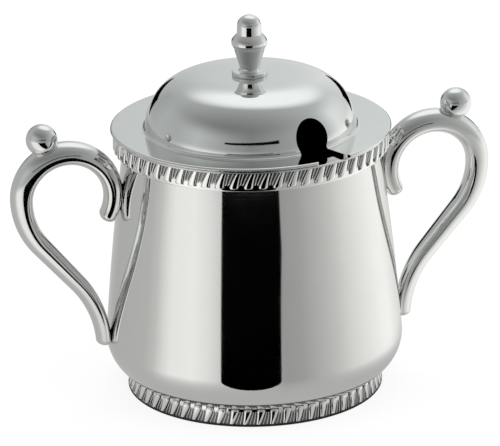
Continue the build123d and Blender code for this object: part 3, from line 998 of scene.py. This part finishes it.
class SUGARPOT_OT_lid(bpy.types.Operator):
    """Press the lid, cut its spoon notch and add the ring that keeps it in the mouth"""

    bl_idname = "sugarpot.lid"
    bl_label = "Lid"

    def execute(self, context):
        settings = context.scene.sugar_pot
        sizes, edge = settings.lid, settings.vessel.edge
        lid = turned("pressed_lid", self.outline(sizes, edge), segments=360)
        lid = cut(lid, self.hole(sizes), self.slot(sizes), sharp=35)
        place(lid, "lid", "polished_steel", "lid_shell")

        low, high, outer = SKIRT_LOW.z, SKIRT_HIGH.z, SKIRT_HIGH.x
        ring = box_outline(outer - sizes.skirt_sheet, outer, low, high)
        skirt = turned("locating_skirt", polished(ring, edge))
        half, reach = sizes.slot / 2 + sizes.skirt_gap, LID_HIGH.x
        gap = [(-half, 0), (half, 0), (half, -reach), (-half, -reach)]
        spot = self.at_notch(sizes, 0, low - OVERCUT)
        skirt = cut(skirt, prism("gap", gap, spot, high - low + 2 * OVERCUT))
        place(skirt, "lid", "plain_steel", "lid_locating_ring")
        return {"FINISHED"}

    def at_notch(self, sizes, out, height):
        """Place of a cutter that is turned to the notch, set out from the axis and lifted."""
        turn = Matrix.Rotation(sizes.notch_turn, 4, "Z")
        return turn @ Matrix.Translation((0, -out, height))

    def outline(self, sizes, edge):
        """Section of dome and brim, down the outside and back up the inside."""
        seat, crown, reach, sheet = LID_LOW.z, LID_HIGH.z, LID_HIGH.x, sizes.sheet
        brim, fillet, round_edge = seat + sheet, sizes.dome_fillet, sizes.brim_edge
        outside = dome_outline(sizes, sizes.dome_radius, crown, brim, brim + fillet, steps=70)
        foot = outside[-1][0] + fillet
        hollow = arc((foot, brim + fillet), fillet, pi, 3 * pi / 2, steps=12)[1:]
        outer, under = reach - round_edge, seat + sizes.brim_rise
        flat = [
            (foot + (outer - foot) * part, brim + sizes.brim_rise * part) for part in BRIM_PLACES
        ]
        edge_centre = (outer, brim + sizes.brim_rise - round_edge)
        down = arc(edge_centre, round_edge, pi / 2, 0, steps=10)
        down += [(reach, under + edge), (reach - edge, under)]
        inside = dome_outline(sizes, sizes.dome_radius - sheet, crown - sheet, seat, seat, steps=60)
        below = [(RIM_HIGH.x - round_edge, seat), (inside[-1][0] + round_edge, seat)]
        top = [(0, crown)] + outside + hollow + flat + down
        return top + below + inside[::-1] + [(0, crown - sheet)]

    def hole(self, sizes):
        """Round hole through the dome's wall."""
        ring = arc((0, 0), sizes.hole_radius, 0, ROUND, steps=96)[:-1]
        height = LID_LOW.z + sizes.sheet + sizes.hole_rise
        spot = self.at_notch(sizes, CUT_START * sizes.dome_radius, height)
        upright = Matrix.Rotation(pi / 2, 4, "X")
        return prism("hole", ring, spot @ upright, CUT_DEPTH * sizes.dome_radius)

    def slot(self, sizes):
        """Slot through the brim, with its outer corners rounded off."""
        half, flare, reach = sizes.slot / 2, sizes.slot_flare, LID_HIGH.x
        level = sizes.sheet + sizes.hole_rise - sqrt(sizes.hole_radius ** 2 - half ** 2)
        edge = sqrt(reach ** 2 - half ** 2)
        right = arc((half + flare, edge - flare), flare, pi, pi / 2, steps=12)
        right.append((half + flare, reach + OVERCUT))
        left = [(-x, y) for x, y in reversed(right)]
        inner = CUT_START * sizes.dome_radius
        ring = [(x, -y) for x, y in [(-half, inner), (half, inner)] + right + left]
        return prism("slot", ring, self.at_notch(sizes, 0, LID_LOW.z - OVERCUT), level + OVERCUT)


class SUGARPOT_OT_finial(bpy.types.Operator):
    """Turn the finial with its base disc, and fit the screw and washer inside the dome"""

    bl_idname = "sugarpot.finial"
    bl_label = "Finial"

    def execute(self, context):
        settings = context.scene.sugar_pot
        sizes, edge = settings.finial, settings.vessel.edge
        corners = box_outline(0, DISC_HIGH.x, DISC_LOW.z, DISC_HIGH.z)
        outline = polished(corners, sizes.disc_edge, closed=False, steps=8)
        disc = turned("finial_disc", outline, segments=128)
        place(disc, "lid", "turned_steel", "finial_base_disc")

        knob = turned("finial_turning", self.knob(sizes), segments=128, sharp=30)
        place(knob, "lid", "turned_steel", "finial_knob")

        corners = box_outline(sizes.washer_bore, WASHER_HIGH.x, WASHER_LOW.z, WASHER_HIGH.z)
        washer = turned("washer", polished(corners, edge), segments=96)
        place(washer, "lid", "plain_steel", "finial_washer")

        outline = polished(self.screw(sizes), edge, closed=False)
        screw = turned("screw", outline, segments=96)
        blade = sizes.blade
        slot = box_outline(-BLADE_REACH, BLADE_REACH, -blade / 2, blade / 2)
        down = Matrix.Translation((0, 0, SCREW_LOW.z - OVERCUT))
        screw = cut(screw, prism("blade", slot, down, OVERCUT + blade))
        place(screw, "lid", "plain_steel", "finial_screw")
        return {"FINISHED"}

    def knob(self, sizes):
        """Outline of stem, bead and tip."""
        base, tip = KNOB_LOW.z, KNOB_HIGH.z
        stem, stem_top, end = sizes.stem_radius, sizes.stem_top_radius, sizes.tip_radius
        bead_low = base + sizes.stem_height
        bead_high, flare = bead_low + sizes.bead_height, sizes.stem_flare
        outline = [(0, base)] + arc((stem + flare, base + flare), flare, -pi / 2, -pi, steps=8)
        foot = Vector((stem, base + flare))
        head = Vector((stem_top, bead_low))
        steps = range(1, STEM_STEPS + 1)
        outline += [tuple(foot.lerp(head, step / STEM_STEPS)) for step in steps]
        bulge = KNOB_HIGH.x - (stem_top + end) / 2
        for step in range(1, BEAD_STEPS + 1):
            part = step / BEAD_STEPS
            radius = stem_top + (end - stem_top) * part + bulge * sin(pi * part)
            outline.append((min(KNOB_HIGH.x, radius), bead_low + sizes.bead_height * part))
        upright = bead_high + sizes.tip_upright
        for step in range(TIP_STEPS):
            turn = pi / 2 * step / TIP_STEPS
            height = upright + (tip - upright) * sin(turn)
            outline.append(((end - sizes.tip_taper) * cos(turn), height))
        return outline + [(0, tip)]

    def screw(self, sizes):
        """Outline of the screw, from the crown of its head up to the end of its shank."""
        head, low, top, neck = SCREW_HIGH.x, SCREW_LOW.z, SCREW_HIGH.z, WASHER_LOW.z
        outline = [(head * out, low + sizes.head_crown * up) for out, up in HEAD_CROWN]
        shank, point = sizes.shank, sizes.shank_point
        outline += [(head, neck), (shank, neck), (shank, top - point)]
        return outline + [(shank - point, top), (0, top)]


# Tones of the tent's cloth by azimuth from the camera, in degrees: near the table and above

TENT_LOW = (
    (-180, 0.60), (-144, 0.48), (-115, 0.51), (-94, 0.53), (-84, 0.62), (-75, 0.84), (-68, 0.96),
    (-50, 1.0), (-36, 0.88), (-26, 0.72), (24, 0.37), (38, 0.41), (48, 0.485), (59, 0.56),
    (70, 0.655), (80, 0.775), (92, 0.88), (104, 0.97), (118, 1.06), (130, 1.08), (180, 0.60),
)
TENT_MIDDLE = (
    (-180, 0.72), (-165, 0.55), (-144, 0.42), (-117, 0.50), (-88, 0.48), (-60, 0.58), (-30, 0.42),
    (0, 0.27), (30, 0.35), (60, 0.44), (88, 0.56), (108, 0.90), (120, 0.86), (144, 0.72),
    (165, 0.84), (180, 0.72),
)
COOL = (0.955, 1.0, 0.99)
WARM = (1.0, 1.0, 0.98)

# A ramp's colours stop at 1, so it holds each tone divided by the glow of the cloth

GLOW = 2.0

# Tones of the cloth on the table, painted dark near the foot as the pot's contact shadow and shade
# mirrored in the steel, and the reach, in metres, over which they change

CONTACT_SHADOW_TONE, NEAR_SHADE_TONE = (0.01,) * 3, (0.255,) * 3
CONTACT_REACH, NEAR_REACH = (0.0416, 0.0428), (0.047, 0.10)

# Rise above the tent's centre, in degrees, over which table turns to wall and wall to roof

WALL_RISE, ROOF_RISE = (-3, 8), (22, 50)

# Tone of the roof: plain, added at the back and added on the right

ROOF_PLAIN, ROOF_BACK, ROOF_SIDE = 0.205, 0.125, 0.05

# Soft panel in the roof: tone, azimuth and rise, and the angles of its edge and its even core

PANEL_TONE, PANEL_TURN, PANEL_RISE = 0.55, 170, 57
PANEL_EDGE, PANEL_CORE = 33, 12

# How far the pot's own width bends the view of the cloth near the table

NEAR_BEND = 0.6

# Heights over the table of the cloth on it and of the opening in that cloth, in metres

CLOTH_LEVEL, OPENING_LEVEL = 0.0003, 0.0006

# Slit by the camera: its base height and distance in metres, its azimuths, and the rises of its
# lower and upper edge at each end, in degrees

SLIT_LEVEL, SLIT_REACH, SLIT_TURNS = 0.09, 0.5, (-28, 30)
SLIT_LOW, SLIT_HIGH = (13.0, 12.0), (16.0, 18.5)

# Dark strips behind the pot: name and first azimuth, then their width in degrees, their heights
# in metres and their reach as a share of the wall's

DARK_STRIPS = (("dark_back_right", 147), ("dark_back_left", 193))
DARK_WIDTH, DARK_LOW, DARK_HIGH, DARK_REACH = 20, 0.02, 0.145, 0.9

# Share of the tent's radius at which the opening in its wall stands, just before the cloth

WALL_SHARE = 0.99

# Radii of the tent's floor rings and how far the innermost reaches under the foot, in metres

FLOOR_RINGS, UNDER_FOOT = (0.06, 0.12), 0.001

# Rows of the opening over its rounded corners, as shares of their depth, and beyond them

CORNER_ROWS, OPENING_STEPS = (0, 0.02, 0.08, 0.2, 0.4, 0.7, 1), 12

# Lamps: name, azimuth from the camera and rise in degrees, and power in watts, then their
# distance and width in metres

LAMPS = (("key", 60, 50, 1.8), ("fill", -60, 45, 1.2), ("back", 170, 60, 1.5))
LAMP_DISTANCE, LAMP_SIZE = 0.9, 0.5

# Share of the table's light that it gives off by itself, its tone and half its width in metres

TABLE_GLOW, TABLE_TONE, TABLE_HALF = 0.85, 0.9, 4.0

# Width of the camera's sensor in millimetres, and how near and far it sees in metres

SENSOR, NEAREST, FARTHEST = 36.0, 0.05, 20.0


def around(azimuth, reach, height):
    """A point at an azimuth from the front, a reach and a height."""
    return Vector((reach * sin(azimuth), -reach * cos(azimuth), height))


def tone_ramp(tree, tones, tint, turn):
    """A ramp over the azimuth, in degrees, of greys with one tint."""
    ramp = add_node(tree, "ShaderNodeValToRGB")
    elements = ramp.color_ramp.elements
    while len(elements) > 1:
        elements.remove(elements[-1])
    for index, (azimuth, tone) in enumerate(tones):
        position = (azimuth + 180) / 360
        element = elements[0] if index == 0 else elements.new(position)
        element.position = position
        element.color = (*[tone / GLOW * c for c in tint], 1)
    tree.links.new(turn, ramp.inputs["Fac"])
    return ramp.outputs["Color"]


def along_axis(tree, direction, axis):
    """How far a direction points along an axis."""
    node = add_node(tree, "ShaderNodeVectorMath", operation="DOT_PRODUCT")
    tree.links.new(direction, node.inputs[0])
    node.inputs[1].default_value = axis
    return node.outputs["Value"]


def roof_tone(tree, camera_turn):
    """The roof's cloth, with a soft panel in it."""
    spot = add_node(tree, "ShaderNodeTexCoord")
    normal = add_node(tree, "ShaderNodeVectorMath", operation="NORMALIZE")
    tree.links.new(spot.outputs["Object"], normal.inputs[0])
    direction = normal.outputs[0]
    back = along_axis(tree, direction, around(camera_turn + pi, 1, 0))
    side = along_axis(tree, direction, around(camera_turn + pi / 2, 1, 0))
    plain = worked(tree, "MULTIPLY_ADD", back, ROOF_BACK, ROOF_PLAIN)
    plain = worked(tree, "MULTIPLY_ADD", side, ROOF_SIDE, plain)
    rise, turn = radians(PANEL_RISE), camera_turn + radians(PANEL_TURN)
    panel = along_axis(tree, direction, around(turn, cos(rise), sin(rise)))
    lit = ranged(tree, panel, cos(radians(PANEL_EDGE)), cos(radians(PANEL_CORE)), smooth=True)
    grey = add_node(tree, "ShaderNodeCombineXYZ")
    for name, part in zip("XYZ", COOL):
        tree.links.new(worked(tree, "MULTIPLY", plain, part), grey.inputs[name])
    return mixed(tree, lit, grey.outputs[0], [PANEL_TONE * c for c in COOL])


def only_glow(tree, shader, **values):
    """Put a glow in the shader's place."""
    tree.nodes.remove(shader)
    glow = add_node(tree, "ShaderNodeEmission", **values)
    tree.links.new(glow.outputs[0], tree.nodes["Material Output"].inputs["Surface"])
    return glow


def tent_cloth(studio):
    """Cloth of the light tent, which glows in tones that change round the pot and upward."""
    material, tree, shader = new_material("tent cloth")
    if tree is None:
        return material
    across, away, height, reach = distances(tree)
    spread = worked(tree, "ARCTAN2", across, worked(tree, "MULTIPLY", away, -1.0))
    turn = worked(tree, "SUBTRACT", spread, studio.camera_turn)
    bend = worked(tree, "SINE", worked(tree, "MULTIPLY", turn, NEAR_BEND))
    parallax = worked(tree, "DIVIDE", VESSEL_HIGH.x, reach)
    seen = worked(tree, "MULTIPLY_ADD", parallax, bend, turn)
    low_turn = worked(tree, "MULTIPLY_ADD", seen, 1 / ROUND, 0.5)
    wall_turn = worked(tree, "FRACT", worked(tree, "MULTIPLY_ADD", turn, 1 / ROUND, 0.5))
    low_tone = tone_ramp(tree, TENT_LOW, WARM, low_turn)
    wall_tone = tone_ramp(tree, TENT_MIDDLE, COOL, wall_turn)

    # Painted shadow: the cloth is nearly black just round the foot and dim farther out, where the
    # pot's shadow would fall
    near = mixed(tree, ranged(tree, reach, *CONTACT_REACH), CONTACT_SHADOW_TONE, NEAR_SHADE_TONE)
    low_tone = mixed(tree, ranged(tree, reach, *NEAR_REACH, smooth=True), near, low_tone)
    rise = worked(tree, "ARCTAN2", height, reach)
    to_wall, to_roof = (
        ranged(tree, rise, radians(low), radians(high), smooth=True)
        for low, high in (WALL_RISE, ROOF_RISE)
    )
    tone = mixed(tree, to_wall, low_tone, wall_tone)
    tone = mixed(tree, to_roof, tone, roof_tone(tree, studio.camera_turn))
    tree.links.new(tone, only_glow(tree, shader, Strength=GLOW).inputs["Color"])
    return material


def unlit_room():
    """Black that gives back no light."""
    material, tree, shader = new_material("unlit room")
    if tree:
        only_glow(tree, shader, Color=(0, 0, 0, 1), Strength=0.0)
    return material


def seen_rays(tree):
    """1 for camera, glossy and transmission rays, else 0."""
    path = add_node(tree, "ShaderNodeLightPath").outputs
    seen = worked(tree, "MAXIMUM", path["Is Camera Ray"], path["Is Glossy Ray"])
    return worked(tree, "MAXIMUM", seen, path["Is Transmission Ray"])


def table_cloth():
    """Pale table that reads white and keeps the pot's shadow."""
    material, tree, shader = new_material("pale table")
    if tree is None:
        return material
    shader.inputs["Base Color"].default_value = (TABLE_TONE, TABLE_TONE, TABLE_TONE, 1)
    shader.inputs["Roughness"].default_value = 1.0
    shader.inputs["Specular IOR Level"].default_value = 0.0
    glow = add_node(tree, "ShaderNodeEmission", Strength=1.0)
    mix = add_node(tree, "ShaderNodeMixShader")
    wire(
        tree, (worked(tree, "MULTIPLY", seen_rays(tree), TABLE_GLOW), mix.inputs["Fac"]),
        (shader.outputs[0], mix.inputs[1]), (glow.outputs[0], mix.inputs[2]),
        (mix.outputs[0], tree.nodes["Material Output"].inputs["Surface"]),
    )
    return material


def staged(name, vertices, faces, material, hidden=True):
    """A stage piece. Hidden ones show only in the steel."""
    mesh = meshed(name, vertices, faces)
    mesh.materials.append(material)
    piece = linked(name, mesh)
    if hidden:
        piece.visible_camera = False
        piece.visible_diffuse = False
        piece.visible_shadow = False
        piece.visible_transmission = False
    return piece


class SUGARPOT_OT_stage(bpy.types.Operator):
    """Set up the table, the light tent with its dark opening, the lamps and the camera"""

    bl_idname = "sugarpot.stage"
    bl_label = "Stage"

    def execute(self, context):
        studio = context.scene.sugar_pot.studio
        corners = [(-1, -1), (1, -1), (1, 1), (-1, 1)]
        corners = [(TABLE_HALF * x, TABLE_HALF * y, 0) for x, y in corners]
        staged("table", corners, [(0, 1, 2, 3)], table_cloth(), hidden=False)
        self.tent(studio)
        self.opening(studio)
        self.dark_strips(studio)
        self.lamps(studio)
        self.world(context.scene)
        self.camera(context.scene, studio)
        context.scene.view_settings.view_transform = "Standard"
        return {"FINISHED"}

    def tent(self, studio):
        """Cloth on the table and over the pot, seen only in the steel."""
        reach, centre = studio.tent_radius, studio.tent_centre
        low = CLOTH_LEVEL - centre
        radii = (FOOT_HIGH.x - UNDER_FOOT, *FLOOR_RINGS, reach / 2)
        outline = [(radius, low) for radius in radii]
        outline += arc((0, low), reach, 0, pi / 2, steps=24)[:-1] + [(0, reach - centre)]
        tent = staged("light_tent", *spun(outline, segments=96, closed=False), tent_cloth(studio))
        tent.location.z = centre

    def opening(self, studio):
        """Dark opening of the tent: on the table and up its wall."""
        reach = studio.tent_radius * WALL_SHARE
        left, right = studio.opening_left, studio.opening_right
        near_left, near_right = studio.opening_near
        corner_width, corner = studio.opening_corner
        depth = reach * cos(left) - studio.opening_start
        beyond, steps = depth - corner, range(1, OPENING_STEPS + 1)
        rows = [corner * part for part in CORNER_ROWS]
        rows += [corner + beyond * step / OPENING_STEPS for step in steps]
        vertices = []
        for row in rows:
            part = row / depth
            inset = corner_width * (1 - sqrt(1 - max(0, 1 - row / corner) ** 2))
            bow = studio.opening_bow * 4 * part * (1 - part)
            start = near_left + (reach * sin(left) - near_left) * part + inset
            end = near_right + (reach * sin(right) - near_right) * part - inset - bow
            vertices += [self.on_table(studio, x, studio.opening_start + row) for x in (start, end)]
        faces = bridged(len(rows), 2)
        count = len(vertices)
        faces.append([count - 1, count - 2] + [count + step for step in steps])
        for step in range(OPENING_STEPS + 1):
            turn = left + (right - left) * step / OPENING_STEPS
            vertices.append(self.on_table(studio, reach * sin(turn), reach * cos(turn)))
        staged("opening_on_table", vertices, faces, unlit_room())
        top = studio.opening_height
        self.strip(studio, "opening_in_wall", (left, right), reach, (0, 0), (top, top))

    def on_table(self, studio, across, towards):
        """A point on the table, given across the view and towards the camera."""
        turn = studio.camera_turn
        x = across * cos(turn) + towards * sin(turn)
        return Vector((x, across * sin(turn) - towards * cos(turn), OPENING_LEVEL))

    def dark_strips(self, studio):
        """The slit round the camera and what is dark behind the pot."""
        low, high = (
            [SLIT_LEVEL + SLIT_REACH * tan(radians(rise)) for rise in rises]
            for rises in (SLIT_LOW, SLIT_HIGH)
        )
        turns = [radians(turn) for turn in SLIT_TURNS]
        self.strip(studio, "camera_window", turns, SLIT_REACH, low, high)
        reach = studio.tent_radius * WALL_SHARE * DARK_REACH
        for name, start in DARK_STRIPS:
            turns = (radians(start), radians(start + DARK_WIDTH))
            self.strip(studio, name, turns, reach, (DARK_LOW, DARK_LOW), (DARK_HIGH, DARK_HIGH))

    def strip(self, studio, name, turns, reach, low, high):
        """An upright black strip of the tent between two azimuths from the camera."""
        steps = 16
        vertices = []
        for step in range(steps + 1):
            part = step / steps
            turn = studio.camera_turn + turns[0] + (turns[1] - turns[0]) * part
            for ends in (low, high):
                vertices.append(around(turn, reach, ends[0] + (ends[1] - ends[0]) * part))
        staged(name, vertices, bridged(steps + 1, 2), unlit_room())

    def lamps(self, studio):
        """Soft lamps that light the table round the pot."""
        for name, turn, rise, watts in LAMPS:
            lamp = bpy.data.lights.new(name + "_lamp", "AREA")
            lamp.shape, lamp.size, lamp.energy = "DISK", LAMP_SIZE, watts
            piece = linked(name + "_lamp", lamp)
            turn, rise = studio.camera_turn + radians(turn), radians(rise)
            spot = around(turn, LAMP_DISTANCE * cos(rise), LAMP_DISTANCE * sin(rise))
            piece.matrix_world = Matrix.LocRotScale(spot, spot.to_track_quat("Z", "Y"), None)
            piece.visible_glossy = False

    def world(self, scene):
        """White all round."""
        world = bpy.data.worlds.new("white room")
        world.use_nodes = True
        back = world.node_tree.nodes["Background"]
        back.inputs["Color"].default_value = (1, 1, 1, 1)
        back.inputs["Strength"].default_value = 1.0
        scene.world = world

    def camera(self, scene, studio):
        """Camera at the photograph's angle."""
        turn, rise, roll = studio.camera_turn, studio.camera_rise, studio.camera_roll
        away = around(turn, cos(rise), sin(rise))
        side = Vector((cos(turn), sin(turn), 0))
        up = away.cross(side)
        right = side * cos(roll) + up * sin(roll)
        top = up * cos(roll) - side * sin(roll)
        aim = side * studio.aim[0] + Vector((0, 0, studio.aim[1]))
        data = bpy.data.cameras.new("camera")
        data.sensor_width = SENSOR
        data.lens = SENSOR * studio.distance / studio.field
        data.clip_start, data.clip_end = NEAREST, FARTHEST
        camera = linked("camera", data)
        axes = Matrix((right, top, away)).transposed().to_4x4()
        camera.matrix_world = Matrix.Translation(aim + away * studio.distance) @ axes
        scene.camera = camera


class SUGARPOT_PT_panel(bpy.types.Panel):
    """Sugar pot pieces and their settings"""

    bl_idname = "SUGARPOT_PT_panel"
    bl_label = "Sugar Pot"
    bl_space_type = "VIEW_3D"
    bl_region_type = "UI"
    bl_category = "Sugar Pot"

    def draw(self, context):
        settings = context.scene.sugar_pot
        for operator in OPERATORS:
            self.layout.operator(operator.bl_idname)
        for name, group in GROUPS:
            box = self.layout.box()
            box.label(text=name.capitalize())
            for key in group.__annotations__:
                box.prop(getattr(settings, name), key)


OPERATORS = (
    SUGARPOT_OT_vessel,
    SUGARPOT_OT_borders,
    SUGARPOT_OT_handles,
    SUGARPOT_OT_thumb_balls,
    SUGARPOT_OT_lid,
    SUGARPOT_OT_finial,
    SUGARPOT_OT_stage,
)
CLASSES = (*[group for _, group in GROUPS], SugarPotSettings, *OPERATORS, SUGARPOT_PT_panel)


def register():
    """Add the settings, operators and panel to Blender."""
    for kind in CLASSES:
        bpy.utils.register_class(kind)
    bpy.types.Scene.sugar_pot = PointerProperty(type=SugarPotSettings)


def unregister():
    """Take them away again."""
    del bpy.types.Scene.sugar_pot
    for kind in reversed(CLASSES):
        bpy.utils.unregister_class(kind)


def main():
    """Build every piece in order."""
    register()
    for operator in OPERATORS:
        family, name = operator.bl_idname.split(".")
        getattr(getattr(bpy.ops, family), name)()


if __name__ == "__main__":
    main()
